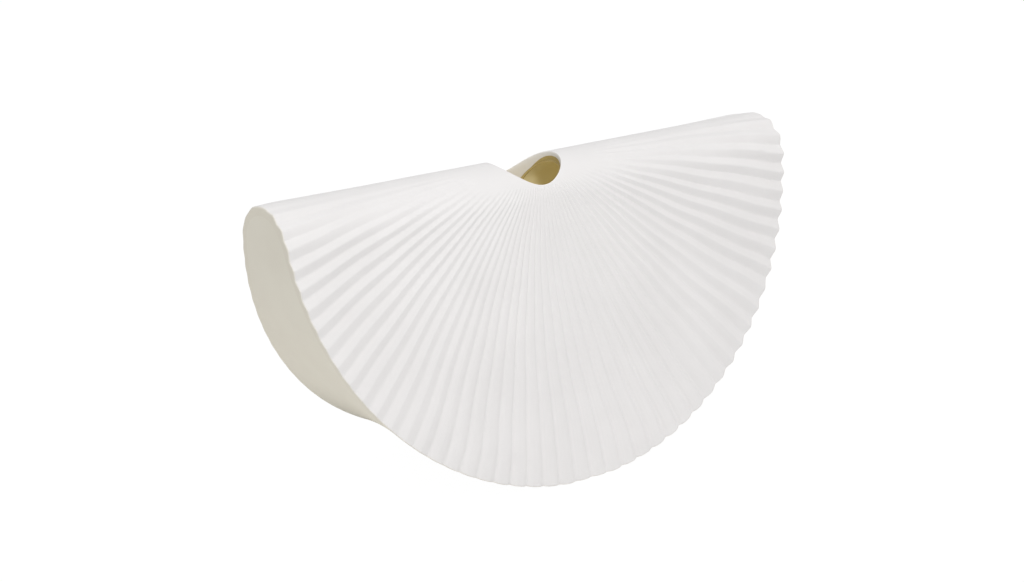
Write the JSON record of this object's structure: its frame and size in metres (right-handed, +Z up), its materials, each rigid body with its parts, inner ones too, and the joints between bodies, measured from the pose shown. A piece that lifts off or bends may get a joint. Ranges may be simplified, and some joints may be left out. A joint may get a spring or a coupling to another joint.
{
  "type": "fan vase",
  "caption": "Half-round fan-shaped ceramic flower vase, two ribbed leaning faces joined by a smooth ridge with a round mouth and a plain curved side wall.",
  "frame": {"origin": "middle of the base, on the ground between the flats of the two fans", "axes": "+X along the ridge to the right as seen from the front, -Y out of the front fan, +Z up"},
  "size_m": [0.3038, 0.1046, 0.1538],
  "materials": {
    "fan_clay": "matt unglazed white clay, fine grain, softly ribbed",
    "wall_clay": "matt unglazed white clay, smoothed with a rib",
    "seam_clay": "matt unglazed clay coil",
    "inner_glaze": "thin warm glaze, watertight"
  },
  "bodies": {
    "root": {"front_fan": "fan_clay", "back_fan": "fan_clay", "ridge_saddle": "fan_clay", "gusset_wall": "wall_clay", "front_seam_coil": "seam_clay", "back_seam_coil": "seam_clay", "glaze_lining": "inner_glaze"}
  },
  "joints": []
}
